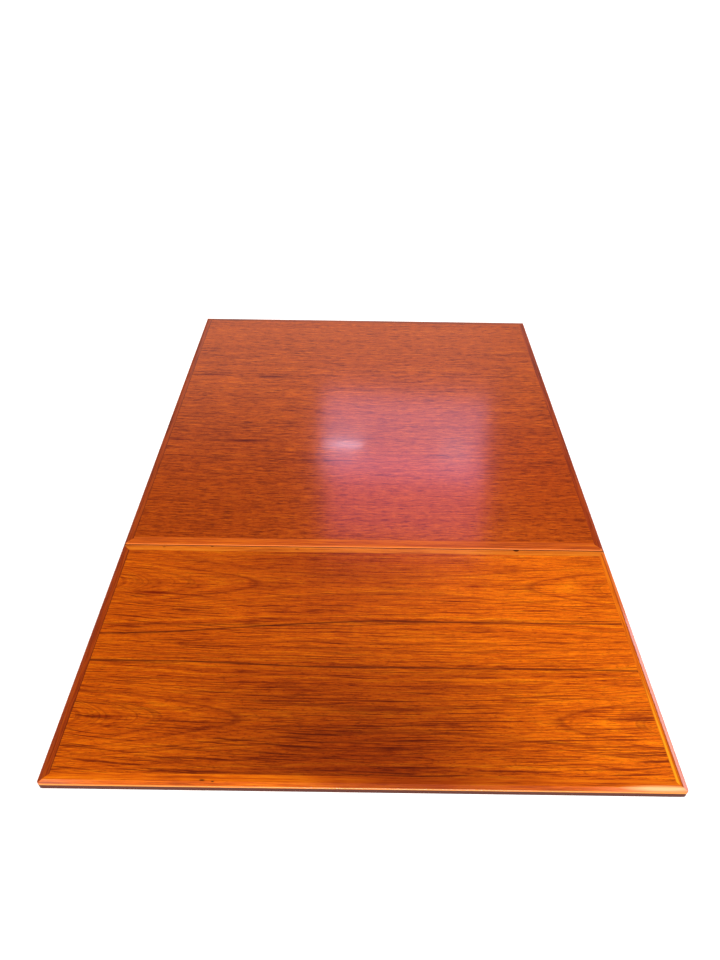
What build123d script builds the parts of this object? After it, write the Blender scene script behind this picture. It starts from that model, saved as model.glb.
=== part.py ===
from build123d import *
import math
import os

# Drop leaf table: a square veneered top on four tapered legs, with one leaf hinged along its
# near edge. Millimetres, +Z up, X along the seam between top and leaf, leaf on the -Y side.
# The origin is on the floor, under the middle of the open table.

# ---- panels ----
TABLE_WIDTH = 850.0
MAIN_DEPTH = 850.0
LEAF_DEPTH = 433.0
TABLE_HEIGHT = 730.0
PANEL_THICKNESS = 20.0
VENEER_THICKNESS = 0.8
SEAM_GAP = 1.2
SIDE_LIPPING = 14.0
OUTER_LIPPING = 16.0
MAIN_SEAM_LIPPING = 18.0
LEAF_SEAM_LIPPING = 13.0
OUTER_CORNER_RADIUS = 7.0
BEVEL_WIDTH = 6.5
BEVEL_DROP = 2.5
UNDERCUT = 8.0
ARRIS_RADIUS = 2.0
SEAM_ARRIS_RADIUS = 2.5
OVERCUT = 1.0  # how far a cutting shape runs past the face it cuts

# ---- legs and aprons ----
LEG_SIDE = 46.0
LEG_INSET = 30.0
LEG_NECK_RADIUS = 22.0
LEG_FOOT_RADIUS = 14.0
LEG_CORNER_RADIUS = 5.0
LEG_INNER_CHAMFER = 12.0
LEG_HEAD_BELOW_APRON = 6.0
SHOULDER_HEIGHT = 30.0
SHOULDER_FULLNESS = 4.0
SHOULDER_MIDDLE = 0.42  # of the shoulder's height, where it is fullest
APRON_HEIGHT = 90.0
APRON_THICKNESS = 20.0
APRON_SETBACK = 4.0
GLIDE_RADIUS = 11.0
GLIDE_THICKNESS = 4.0
GLIDE_EDGE_RADIUS = 1.5
GLIDE_NAIL_SUNK = 1.5
GLIDE_NAIL_RADIUS = 1.5
GLIDE_NAIL_LENGTH = 16.0

# ---- corner blocks and their bolts ----
BLOCK_GAP = 1.0
BLOCK_THICKNESS = 20.0
BLOCK_HEIGHT = 70.0
BLOCK_DROP = 8.0
BOLT_RADIUS = 4.0
BOLT_IN_LEG = 26.0
BOLT_TAIL = 13.0
BOLT_HEIGHTS = (18.0, 52.0)
WASHER_RADIUS = 9.0
WASHER_THICKNESS = 1.6
NUT_WIDTH = 13.0
NUT_HEIGHT = 6.5
BLOCK_SCREW_LENGTH = 30.0
BLOCK_SCREW_SUNK = 5.0
BLOCK_SINK_RADIUS = 3.8
BLOCK_SINK_LENGTH = 12.0

# ---- buttons that hold the top down ----
BUTTON_LENGTH = 30.0
BUTTON_REACH = 28.0
BUTTON_HEIGHT = 18.0
BUTTON_GAP = 1.0
BUTTON_CHAMFER = 3.0
TONGUE_HEIGHT = 6.0
TONGUE_DEPTH = 7.0
TONGUE_LENGTH = 28.0
GROOVE_DROP = 11.0
GROOVE_HEIGHT = 6.4
GROOVE_DEPTH = 8.0
BUTTON_SCREW_LENGTH = 30.0

# ---- hinges ----
HINGE_X = 268.0
HINGE_LENGTH = 60.0
HINGE_REACH = 36.0
HINGE_THICKNESS = 2.0
KNUCKLE_RADIUS = 4.0
KNUCKLE_COUNT = 5
KNUCKLE_GAP = 0.3
KNUCKLE_TO_PLATE = 0.4
PIN_RADIUS = 2.0
PIN_CLEARANCE = 0.04
PIN_END_PLAY = 0.2
PIN_HEAD_RADIUS = 3.0
PIN_HEAD_LENGTH = 1.0
HOLLOW_RADIUS = 4.7
HOLLOW_LENGTH = 64.0
HINGE_SCREW_PLACES = ((-20.0, 27.0), (20.0, 27.0), (0.0, 14.0))
HINGE_SCREW_LENGTH = 15.0
NOTCHES = {"left": (8.0, 3.0), "right": (12.0, 4.5)}

# ---- leaf stays ----
STAY_X = 330.0
PIVOT_INSET = 19.0
PIVOT_DROP = 70.0
ARM_LENGTH = 150.0
SLIDE_DROP = 20.0
ARM_WIDTH = 14.0
ARM_EYE_RADIUS = 9.0
ARM_LOWER_EYE_RADIUS = 8.0
ARM_THICKNESS = 4.0
EAR_THICKNESS = 3.0
EAR_RADIUS = 8.0
BRACKET_THICKNESS = 3.0
BRACKET_HEIGHT = 30.0
BRACKET_OUTWARD = 15.0
BRACKET_INWARD = 23.0
BRACKET_CORNER_RADIUS = 3.0
BRACKET_SCREW_PLACES = ((9.0, 8.0), (9.0, -8.0), (-16.0, 8.0), (-16.0, -8.0))
BRACKET_SCREW_LENGTH = 16.0
PIVOT_HEAD_RADIUS = 5.5
PIVOT_HEAD_HEIGHT = 2.0
LAYER_GAP = 0.2
SPACER_THICKNESS = 1.0
SPACER_RADIUS = 8.0
WEB_THICKNESS = 3.0
WEB_MARGIN = 9.5
FOOT_WIDTH = 17.0
SLIDE_SCREW_INSET = 8.0
SLIDE_SCREW_EDGE = 6.0
SLIDE_SCREW_LENGTH = 17.0
STUD_RADIUS = 3.0
STUD_HEAD_RADIUS = 5.5
STUD_HEAD_HEIGHT = 2.0
STUD_SHORT_OF_KNOB = 1.0
RUNNING_CLEARANCE = 0.05
SLOT_CLEARANCE = 0.2
KNOB_RADIUS = 11.0
KNOB_LENGTH = 14.0
KNOB_FLUTES = 24
FLUTE_RADIUS = 0.8
COLLAR_RADIUS = 7.0
COLLAR_LENGTH = 3.0

# ---- worked out from the above ----
SEAM_Y = (LEAF_DEPTH - MAIN_DEPTH) / 2
UNDERSIDE = TABLE_HEIGHT - PANEL_THICKNESS
HALF_WIDTH = TABLE_WIDTH / 2
MAIN_FAR_Y = SEAM_Y + MAIN_DEPTH
LEAF_OUTER_Y = SEAM_Y - LEAF_DEPTH
LEG_X = HALF_WIDTH - LEG_INSET - LEG_SIDE / 2
LEG_NEAR_Y = SEAM_Y + LEG_INSET + LEG_SIDE / 2
LEG_FAR_Y = MAIN_FAR_Y - LEG_INSET - LEG_SIDE / 2
APRON_OUT = LEG_SIDE / 2 - APRON_SETBACK
APRON_INNER = APRON_THICKNESS - APRON_OUT
LEG_CHAMFER_SUM = LEG_SIDE - LEG_INNER_CHAMFER
BLOCK_BOTTOM = UNDERSIDE - BLOCK_HEIGHT - BLOCK_DROP
BLOCK_NEAR_SUM = LEG_CHAMFER_SUM + BLOCK_GAP * math.sqrt(2)
BLOCK_FAR_SUM = BLOCK_NEAR_SUM + BLOCK_THICKNESS * math.sqrt(2)
PIVOT = (-PIVOT_INSET, -PIVOT_DROP)
EAR_LAYER = 0.0
ARM_LAYER = EAR_THICKNESS + LAYER_GAP
SPACER_LAYER = ARM_LAYER + ARM_THICKNESS
WEB_LAYER = SPACER_LAYER + SPACER_THICKNESS + LAYER_GAP
KNOB_LAYER = WEB_LAYER + WEB_THICKNESS + LAYER_GAP

# The arm stands at ARM_ANGLE above level when the leaf is up, and hangs straight down when
# the leaf is down, so it turns ARM_RATIO times as far as the leaf.
ARM_ANGLE = math.degrees(math.asin((PIVOT_DROP - SLIDE_DROP) / ARM_LENGTH))
ARM_RATIO = 1 + ARM_ANGLE / 90

os.makedirs("parts", exist_ok=True)


def save(name, shape):
    export_step(shape, f"parts/{name}.step")


def group(solids):
    return Compound(list(solids))


def cylinder(radius, start, direction, length):
    """A round bar from start, along direction."""
    plane = Plane(origin=start, z_dir=direction)
    return extrude(plane * Circle(radius), length, dir=plane.z_dir)


def prism(outline, z_low, z_high):
    """An upright prism over plan points."""
    return Pos(0, 0, z_low) * extrude(Polygon(*outline, align=None), z_high - z_low, dir=(0, 0, 1))


def slab(x_low, x_high, y_low, y_high, z_low, z_high):
    size = (x_high - x_low, y_high - y_low, z_high - z_low)
    middle = ((x_low + x_high) / 2, (y_low + y_high) / 2, (z_low + z_high) / 2)
    return Pos(*middle) * Box(*size)


def countersunk_screw(start, direction, length, shank_radius=1.7, head_radius=3.6):
    """A slotted wood screw whose flat head is flush at start and whose shank runs along direction."""
    head_depth = head_radius - shank_radius
    slot_width = 0.8
    slot_depth = 0.7
    outline = Polygon(
        (0, 0), (head_radius, 0), (shank_radius, head_depth),
        (shank_radius, length - 2 * shank_radius), (0.3, length), (0, length), align=None)
    screw = revolve(Plane.XZ * outline, Axis.Z)
    screw -= Pos(0, 0, slot_depth / 2) * Box(2 * head_radius, slot_width, slot_depth)
    return Plane(origin=start, z_dir=direction) * screw


# ---------------------------------------------------------------- panels

def shaped_edge(end, inwards):
    """Section points of a bevelled and undercut edge, from the underside up to the top."""
    return [(end + inwards * UNDERCUT, UNDERSIDE), (end, UNDERSIDE + UNDERCUT),
            (end, TABLE_HEIGHT - BEVEL_DROP), (end + inwards * BEVEL_WIDTH, TABLE_HEIGHT)]


def square_edge(end):
    """Section points of a square edge, from the underside up to the top."""
    return [(end, UNDERSIDE), (end, TABLE_HEIGHT)]


def softened_section(low_points, high_points):
    """A section across a panel with its outer and upper arrises eased."""
    section = Polygon(*low_points, *reversed(high_points), align=None)
    for points in (low_points, high_points):
        bevelled = len(points) > 2
        place = Vector(*(points[2] if bevelled else points[1]))
        arris = section.vertices().sort_by_distance(place)[0]
        section = fillet(arris, ARRIS_RADIUS if bevelled else SEAM_ARRIS_RADIUS)
    return section


def panel_blank(y_low, y_high, seam_at_low):
    """One panel's outer shape: bevelled above and undercut below on the three outer sides."""
    across = softened_section(shaped_edge(-HALF_WIDTH, 1), shaped_edge(HALF_WIDTH, -1))
    low = square_edge(y_low) if seam_at_low else shaped_edge(y_low, 1)
    high = shaped_edge(y_high, -1) if seam_at_low else square_edge(y_high)
    along = softened_section(low, high)
    span = 2 * MAIN_DEPTH
    ribbon = extrude(Plane.XZ * across, span, both=True)
    cross_ribbon = extrude(Plane.YZ * along, span, both=True)
    seam_y = y_low if seam_at_low else y_high
    plan = Pos(0, (y_low + y_high) / 2) * Rectangle(TABLE_WIDTH, y_high - y_low)
    plan = fillet(plan.vertices().filter_by(lambda v: abs(v.Y - seam_y) > 1), OUTER_CORNER_RADIUS)
    rounded = Pos(0, 0, UNDERSIDE - OVERCUT) * extrude(plan, PANEL_THICKNESS + 2 * OVERCUT)
    return ribbon & cross_ribbon & rounded


def lipping_outlines(box, widths):
    """Plan outlines of the four lippings, mitred at 45 degrees from the panel's corners."""
    x_low, x_high, y_low, y_high = box
    left, right, low, high = widths
    chains = []
    for x, y, dx, dy, across, along in (
            (x_low, y_low, 1, 1, left, low), (x_high, y_low, -1, 1, right, low),
            (x_high, y_high, -1, -1, right, high), (x_low, y_high, 1, -1, left, high)):
        mitre = min(across, along)
        chain = [(x, y), (x + dx * mitre, y + dy * mitre)]
        if abs(across - along) > 0.01:
            chain.append((x + dx * across, y + dy * along))
        chains.append(chain)
    names = ("low", "right", "high", "left")
    return {name: chains[i] + chains[(i + 1) % 4][::-1] for i, name in enumerate(names)}


def notch_cutter(side, x):
    """The small half-round notch in the leaf's seam edge over a hinge's knuckles."""
    width, depth = NOTCHES[side]
    radius = (width ** 2 / 4 + depth ** 2) / (2 * depth)
    middle_y = SEAM_Y - SEAM_GAP / 2 - depth + radius
    return cylinder(radius, (x, middle_y, UNDERSIDE - OVERCUT), (0, 0, 1),
                    PANEL_THICKNESS + 2 * OVERCUT)


def build_panel(prefix, y_low, y_high, seam_at_low, cutters, seam_cutters):
    """Core, two veneers and four lippings, with pockets and screw holes cut where they meet."""
    blank = panel_blank(y_low, y_high, seam_at_low)
    box = (-HALF_WIDTH, HALF_WIDTH, y_low, y_high)
    if seam_at_low:
        widths = (SIDE_LIPPING, SIDE_LIPPING, MAIN_SEAM_LIPPING, OUTER_LIPPING)
        low_name, high_name = "seam", "far"
    else:
        widths = (SIDE_LIPPING, SIDE_LIPPING, OUTER_LIPPING, LEAF_SEAM_LIPPING)
        low_name, high_name = "outer", "seam"
    names = {"low": low_name, "high": high_name, "left": "left", "right": "right"}
    for side, outline in lipping_outlines(box, widths).items():
        lipping = blank & prism(outline, UNDERSIDE - OVERCUT, TABLE_HEIGHT + OVERCUT)
        if names[side] == "seam":
            for cutter in seam_cutters:
                lipping -= cutter
        save(f"{prefix}_lipping_{names[side]}", lipping)

    inner = (-HALF_WIDTH + widths[0], HALF_WIDTH - widths[1], y_low + widths[2], y_high - widths[3])
    under = slab(*inner, UNDERSIDE, UNDERSIDE + VENEER_THICKNESS)
    core = slab(*inner, UNDERSIDE + VENEER_THICKNESS, TABLE_HEIGHT - VENEER_THICKNESS)
    top = slab(*inner, TABLE_HEIGHT - VENEER_THICKNESS, TABLE_HEIGHT)
    for cutter in cutters:
        under -= cutter
        core -= cutter
    save(f"{prefix}_veneer_under", under)
    save(f"{prefix}_core", core)
    save(f"{prefix}_veneer_top", top)


# ---------------------------------------------------------------- hinges

def hinge_plate(x, outward, first_knuckle):
    """One flap of a hinge. outward is -1 for the leaf's flap and +1 for the top's flap."""
    pitch = HINGE_LENGTH / KNUCKLE_COUNT
    x_start = x - HINGE_LENGTH / 2
    y_near = SEAM_Y + outward * (KNUCKLE_RADIUS + KNUCKLE_TO_PLATE)
    y_far = SEAM_Y + outward * HINGE_REACH
    plate = slab(x_start, x_start + HINGE_LENGTH, min(y_near, y_far), max(y_near, y_far),
                 UNDERSIDE, UNDERSIDE + HINGE_THICKNESS)
    for index in range(first_knuckle, KNUCKLE_COUNT, 2):
        low = x_start + index * pitch + KNUCKLE_GAP / 2
        length = pitch - KNUCKLE_GAP
        plate += cylinder(KNUCKLE_RADIUS, (low, SEAM_Y, UNDERSIDE), (1, 0, 0), length)
        plate += slab(low, low + length, min(SEAM_Y, y_near), max(SEAM_Y, y_near),
                      UNDERSIDE, UNDERSIDE + HINGE_THICKNESS)
    bore = cylinder(PIN_RADIUS + PIN_CLEARANCE, (x_start - OVERCUT, SEAM_Y, UNDERSIDE), (1, 0, 0),
                    HINGE_LENGTH + 2 * OVERCUT)
    return plate - bore


def hinge_pin(x):
    """A brass pin with a low round head peened on each end."""
    start = x - HINGE_LENGTH / 2 - PIN_END_PLAY
    length = HINGE_LENGTH + 2 * PIN_END_PLAY
    pin = cylinder(PIN_RADIUS, (start, SEAM_Y, UNDERSIDE), (1, 0, 0), length)
    pin += cylinder(PIN_HEAD_RADIUS, (start, SEAM_Y, UNDERSIDE), (-1, 0, 0), PIN_HEAD_LENGTH)
    pin += cylinder(PIN_HEAD_RADIUS, (start + length, SEAM_Y, UNDERSIDE), (1, 0, 0), PIN_HEAD_LENGTH)
    return pin


def hinge_screws(x, outward):
    """Three screws up through a flap into the wood. outward is as for hinge_plate."""
    return [countersunk_screw((x + dx, SEAM_Y + outward * dy, UNDERSIDE), (0, 0, 1),
                              HINGE_SCREW_LENGTH) for dx, dy in HINGE_SCREW_PLACES]


def hinge_pocket(x, outward):
    """The shallow pocket that lets the flap lie flush, with a hollow round the knuckles."""
    far = SEAM_Y + outward * HINGE_REACH
    pocket = slab(x - HINGE_LENGTH / 2, x + HINGE_LENGTH / 2, min(SEAM_Y, far), max(SEAM_Y, far),
                  UNDERSIDE, UNDERSIDE + HINGE_THICKNESS)
    return pocket + cylinder(HOLLOW_RADIUS, (x - HOLLOW_LENGTH / 2, SEAM_Y, UNDERSIDE),
                             (1, 0, 0), HOLLOW_LENGTH)


# ---------------------------------------------------------------- leaf stays
# Each stay is drawn side-on, with the hinge line as origin, u away from the seam under the
# leaf and v up. Its flat pieces lie in layers that run from STAY_X towards the table's middle.

def side_plane(side, layer):
    """Drawing plane at a layer's outer face. Extruding it goes towards the table's middle."""
    return Plane(origin=(side * (STAY_X - layer), SEAM_Y, UNDERSIDE), x_dir=(0, -1, 0),
                 z_dir=(-side, 0, 0))


def side_point(side, u, v):
    """Local sketch point: the plane's own upward axis is flipped on one side."""
    return (u, v) if side > 0 else (u, -v)


def side_plate(side, sketch, layer, thickness):
    """A flat piece cut to a side-on sketch, thickened towards the table's middle."""
    plane = side_plane(side, layer)
    return extrude(plane * sketch, thickness, dir=plane.z_dir)


def bolt_path(leaf_angle):
    """Where the stay's stud lies, in the leaf's own frame, at a leaf angle in degrees."""
    turn = math.radians(leaf_angle)
    arm = math.radians(ARM_ANGLE - (ARM_RATIO - 1) * leaf_angle)
    along = -PIVOT_INSET * math.cos(turn) + PIVOT_DROP * math.sin(turn) + ARM_LENGTH * math.cos(arm)
    below = -PIVOT_INSET * math.sin(turn) - PIVOT_DROP * math.cos(turn) + ARM_LENGTH * math.sin(arm)
    return along, below


STUD = bolt_path(0)


def stay_bracket(side):
    """A plate on the near apron with an ear that carries the arm's pivot."""
    apron_face = -(LEG_INSET + APRON_SETBACK)
    ear = Polygon(*[side_point(side, u, v) for u, v in (
        (apron_face, PIVOT[1] - EAR_RADIUS), (PIVOT[0], PIVOT[1] - EAR_RADIUS),
        (PIVOT[0], PIVOT[1] + EAR_RADIUS), (apron_face, PIVOT[1] + EAR_RADIUS))], align=None)
    ear += Pos(*side_point(side, *PIVOT)) * Circle(EAR_RADIUS)
    bracket = side_plate(side, ear, EAR_LAYER, EAR_THICKNESS)
    x_outer = side * (STAY_X + BRACKET_OUTWARD)
    x_inner = side * (STAY_X - BRACKET_INWARD)
    y_back = SEAM_Y - apron_face
    z_middle = UNDERSIDE - PIVOT_DROP
    plate = slab(min(x_outer, x_inner), max(x_outer, x_inner), y_back - BRACKET_THICKNESS, y_back,
                 z_middle - BRACKET_HEIGHT / 2, z_middle + BRACKET_HEIGHT / 2)
    plate = fillet(plate.edges().filter_by(Axis.Y), BRACKET_CORNER_RADIUS)
    return bracket + plate


def stay_bracket_screws(side):
    """Four screws through a bracket's plate into the near apron."""
    y_face = SEAM_Y + LEG_INSET + APRON_SETBACK - BRACKET_THICKNESS
    z_middle = UNDERSIDE - PIVOT_DROP
    return [countersunk_screw((side * (STAY_X + dx), y_face, z_middle + dz), (0, 1, 0),
                              BRACKET_SCREW_LENGTH) for dx, dz in BRACKET_SCREW_PLACES]


def stay_pivot_pin(side):
    """A riveted pin through the ear and the arm's lower eye."""
    stack = ARM_LAYER + ARM_THICKNESS + LAYER_GAP
    centre = Pos(*side_point(side, *PIVOT))
    pin = side_plate(side, centre * Circle(STUD_RADIUS), EAR_LAYER, stack)
    head = centre * Circle(PIVOT_HEAD_RADIUS)
    pin += side_plate(side, head, -PIVOT_HEAD_HEIGHT, PIVOT_HEAD_HEIGHT)
    pin += side_plate(side, head, stack, PIVOT_HEAD_HEIGHT)
    return pin


def stay_arm(side):
    """The flat brass arm, with a round eye at each end."""
    low = Vector(*side_point(side, *PIVOT))
    high = Vector(*side_point(side, *STUD))
    middle = (low + high) * 0.5
    lean = math.degrees(math.atan2(high.Y - low.Y, high.X - low.X))
    flat = Pos(middle.X, middle.Y) * (Rot(0, 0, lean) * Rectangle(ARM_LENGTH, ARM_WIDTH))
    flat += Pos(low.X, low.Y) * Circle(ARM_LOWER_EYE_RADIUS)
    flat += Pos(high.X, high.Y) * Circle(ARM_EYE_RADIUS)
    flat -= Pos(low.X, low.Y) * Circle(STUD_RADIUS + RUNNING_CLEARANCE)
    flat -= Pos(high.X, high.Y) * Circle(STUD_RADIUS)
    return side_plate(side, flat, ARM_LAYER, ARM_THICKNESS)


def stay_stud(side):
    """The threaded stud that joins arm, slide plate and clamp knob."""
    centre = Pos(*side_point(side, *STUD))
    reach = KNOB_LAYER + KNOB_LENGTH - STUD_SHORT_OF_KNOB - ARM_LAYER
    stud = side_plate(side, centre * Circle(STUD_RADIUS), ARM_LAYER, reach)
    head = centre * RegularPolygon(STUD_HEAD_RADIUS, 6)
    return stud + side_plate(side, head, ARM_LAYER - STUD_HEAD_HEIGHT, STUD_HEAD_HEIGHT)


def stay_spacer(side):
    """The washer between the arm's upper eye and the slide plate."""
    centre = Pos(*side_point(side, *STUD))
    ring = centre * (Circle(SPACER_RADIUS) - Circle(STUD_RADIUS))
    return side_plate(side, ring, SPACER_LAYER, SPACER_THICKNESS)


def path_frame(leaf_angle):
    """The stud's place in the leaf's frame, and its direction of travel."""
    u, v = bolt_path(leaf_angle)
    before = bolt_path(leaf_angle - 0.5)
    after = bolt_path(leaf_angle + 0.5)
    length = math.dist(before, after)
    return u, v, (after[0] - before[0]) / length, (after[1] - before[1]) / length


def slot_face(side, half_width):
    """A round-ended slot of constant width along the stud's path."""
    steps = 9
    below, above = [], []
    for i in range(steps + 1):
        u, v, du, dv = path_frame(90 * i / steps)
        below.append(side_point(side, u + dv * half_width, v - du * half_width))
        above.append(side_point(side, u - dv * half_width, v + du * half_width))
    tips = []
    for leaf_angle, sign in ((0, -1), (90, 1)):
        u, v, du, dv = path_frame(leaf_angle)
        tips.append(side_point(side, u + sign * du * half_width, v + sign * dv * half_width))
    return make_face([Spline(*below), ThreePointArc(below[-1], tips[1], above[-1]),
                      Spline(*above), ThreePointArc(above[0], tips[0], below[0])])


def slide_plate(side):
    """The plate under the leaf. Its curved slot follows the stud through the leaf's whole swing."""
    slot_half = STUD_RADIUS + SLOT_CLEARANCE
    foot_low, foot_high = foot_span()
    path = [bolt_path(10 * i) for i in range(10)]
    filling = [(foot_low, 0), (foot_low, path[0][1]), *path,
               (foot_high, path[-1][1]), (foot_high, 0)]
    body = slot_face(side, slot_half + WEB_MARGIN)
    body += Polygon(*[side_point(side, *p) for p in filling], align=None)
    above_height = 30.0
    above = Pos(*side_point(side, (foot_low + foot_high) / 2, above_height / 2)) * Rectangle(
        2 * (foot_high - foot_low), above_height)
    body = body - above - slot_face(side, slot_half)
    web = side_plate(side, body, WEB_LAYER, WEB_THICKNESS)
    x_outer = side * (STAY_X - WEB_LAYER)
    x_inner = x_outer - side * FOOT_WIDTH
    foot = slab(min(x_outer, x_inner), max(x_outer, x_inner), SEAM_Y - foot_high, SEAM_Y - foot_low,
                UNDERSIDE - WEB_THICKNESS, UNDERSIDE)
    return web + foot


def foot_span():
    """How far along the leaf the slide plate's foot runs."""
    return bolt_path(0)[0] - WEB_MARGIN, bolt_path(90)[0] + WEB_MARGIN


def slide_plate_screws(side):
    """Three screws up through the slide plate's foot into the leaf."""
    low, high = foot_span()
    x = side * (STAY_X - WEB_LAYER - FOOT_WIDTH + SLIDE_SCREW_EDGE)
    places = (low + SLIDE_SCREW_INSET, (low + high) / 2, high - SLIDE_SCREW_INSET)
    return [countersunk_screw((x, SEAM_Y - u, UNDERSIDE - WEB_THICKNESS), (0, 0, 1),
                              SLIDE_SCREW_LENGTH) for u in places]


def clamp_knob(side):
    """A turned brass knob with a fluted rim and a plain collar that bears on the slide plate."""
    rim = Circle(KNOB_RADIUS)
    for i in range(KNOB_FLUTES):
        angle = 2 * math.pi * i / KNOB_FLUTES
        rim -= Pos(KNOB_RADIUS * math.cos(angle), KNOB_RADIUS * math.sin(angle)) * Circle(FLUTE_RADIUS)
    centre = Pos(*side_point(side, *STUD))
    knob = side_plate(side, centre * rim, KNOB_LAYER + COLLAR_LENGTH, KNOB_LENGTH - COLLAR_LENGTH)
    knob += side_plate(side, centre * Circle(COLLAR_RADIUS), KNOB_LAYER, COLLAR_LENGTH)
    bore = centre * Circle(STUD_RADIUS + RUNNING_CLEARANCE)
    return knob - side_plate(side, bore, KNOB_LAYER, KNOB_LENGTH)


# ---------------------------------------------------------------- underframe

def corner(side, end):
    """A leg's centre and the directions in plan that lead inwards from it."""
    x = side * LEG_X
    y = LEG_NEAR_Y if end == "near" else LEG_FAR_Y
    return x, y, -side, (1 if end == "near" else -1)


def build_leg(side, end):
    """A square head that is turned through a round shoulder into a tapered round leg."""
    x, y, dx, dy = corner(side, end)
    half = LEG_SIDE / 2
    cut = half - LEG_INNER_CHAMFER
    outline = [(-dx * half, -dy * half), (dx * half, -dy * half), (dx * half, dy * cut),
               (dx * cut, dy * half), (-dx * half, dy * half)]
    head = prism(outline, GLIDE_THICKNESS, UNDERSIDE)
    edges = head.edges().filter_by(Axis.Z)
    square = edges.filter_by(lambda e: abs(e.center().X) > half - 1 and abs(e.center().Y) > half - 1)
    head = fillet(square, LEG_CORNER_RADIUS)
    reach = LEG_SIDE  # past the head's corners
    head_bottom = UNDERSIDE - APRON_HEIGHT - LEG_HEAD_BELOW_APRON
    neck = head_bottom - SHOULDER_HEIGHT
    shoulder_middle = (LEG_NECK_RADIUS + SHOULDER_FULLNESS, neck + SHOULDER_HEIGHT * SHOULDER_MIDDLE)
    profile = make_face(Wire([
        *Polyline((LEG_NECK_RADIUS, neck), (LEG_FOOT_RADIUS, GLIDE_THICKNESS), (0, GLIDE_THICKNESS),
                  (0, UNDERSIDE), (reach, UNDERSIDE), (reach, head_bottom)).edges(),
        ThreePointArc((reach, head_bottom), shoulder_middle, (LEG_NECK_RADIUS, neck))]))
    turned = revolve(Plane.XZ * profile, Axis.Z)
    return Pos(x, y, 0) * (head & turned)


def diagonal_point(side, end, distance, height):
    """A point on the line from a leg's centre towards the table's middle."""
    x, y, dx, dy = corner(side, end)
    step = distance / math.sqrt(2)
    return x + dx * step, y + dy * step, BLOCK_BOTTOM + height


def corner_block(side, end):
    """A hardwood block across the corner, glued and screwed to both aprons."""
    x, y, dx, dy = corner(side, end)
    edge = APRON_INNER
    points = [(BLOCK_NEAR_SUM - edge, edge), (BLOCK_FAR_SUM - edge, edge),
              (edge, BLOCK_FAR_SUM - edge), (edge, BLOCK_NEAR_SUM - edge)]
    outline = [(x + dx * a, y + dy * b) for a, b in points]
    return prism(outline, BLOCK_BOTTOM, BLOCK_BOTTOM + BLOCK_HEIGHT)


def leg_bolts(side, end):
    """Hanger bolts: screwed into the leg's chamfer, with a nut inside the corner block."""
    _, _, dx, dy = corner(side, end)
    leg_face = LEG_CHAMFER_SUM / math.sqrt(2)
    block_face = leg_face + BLOCK_GAP + BLOCK_THICKNESS
    bolts, washers, nuts = [], [], []
    for height in BOLT_HEIGHTS:
        start = diagonal_point(side, end, leg_face - BOLT_IN_LEG, height)
        length = block_face + BOLT_TAIL - (leg_face - BOLT_IN_LEG)
        bolts.append(cylinder(BOLT_RADIUS, start, (dx, dy, 0), length))
        face = Plane(origin=diagonal_point(side, end, block_face, height), z_dir=(dx, dy, 0))
        ring = Circle(WASHER_RADIUS) - Circle(BOLT_RADIUS)
        washers.append(extrude(face * ring, WASHER_THICKNESS, dir=face.z_dir))
        seat = Plane(origin=diagonal_point(side, end, block_face + WASHER_THICKNESS, height),
                     z_dir=(dx, dy, 0))
        hexagon = RegularPolygon(NUT_WIDTH / math.sqrt(3), 6) - Circle(BOLT_RADIUS)
        nuts.append(extrude(seat * hexagon, NUT_HEIGHT, dir=seat.z_dir))
    return bolts, washers, nuts


def block_screws(side, end):
    """One screw from the block into each apron, and the counterbore that sinks its head."""
    x, y, dx, dy = corner(side, end)
    along = (BLOCK_NEAR_SUM + BLOCK_FAR_SUM) / 2 - APRON_INNER
    out = BLOCK_FAR_SUM - along - BLOCK_SCREW_SUNK
    z = BLOCK_BOTTOM + BLOCK_HEIGHT / 2
    starts = (((x + dx * along, y + dy * out, z), (0, -dy, 0)),
              ((x + dx * out, y + dy * along, z), (-dx, 0, 0)))
    screws = [countersunk_screw(start, way, BLOCK_SCREW_LENGTH - BLOCK_SCREW_SUNK)
              for start, way in starts]
    sinks = [cylinder(BLOCK_SINK_RADIUS, start, tuple(-c for c in way), BLOCK_SINK_LENGTH)
             for start, way in starts]
    return screws, sinks


def apron_box(name):
    """Plan limits of an apron."""
    across = LEG_X - LEG_SIDE / 2
    near = LEG_NEAR_Y + LEG_SIDE / 2
    far = LEG_FAR_Y - LEG_SIDE / 2
    return {
        "near": (-across, across, LEG_NEAR_Y - APRON_OUT, LEG_NEAR_Y + APRON_INNER),
        "far": (-across, across, LEG_FAR_Y - APRON_INNER, LEG_FAR_Y + APRON_OUT),
        "left": (-LEG_X - APRON_OUT, -LEG_X + APRON_INNER, near, far),
        "right": (LEG_X - APRON_INNER, LEG_X + APRON_OUT, near, far)}[name]


INWARDS = {"near": (0, 1), "far": (0, -1), "left": (1, 0), "right": (-1, 0)}


def groove_cutter(name):
    """The groove along an apron's inner face that takes the buttons' tongues."""
    x_low, x_high, y_low, y_high = apron_box(name)
    dx, dy = INWARDS[name]
    thin = APRON_THICKNESS - GROOVE_DEPTH
    low_x = x_low + (thin if dx > 0 else 0)
    high_x = x_high - (thin if dx < 0 else 0)
    low_y = y_low + (thin if dy > 0 else 0)
    high_y = y_high - (thin if dy < 0 else 0)
    top = UNDERSIDE - GROOVE_DROP
    return slab(low_x, high_x, low_y, high_y, top - GROOVE_HEIGHT, top)


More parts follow.
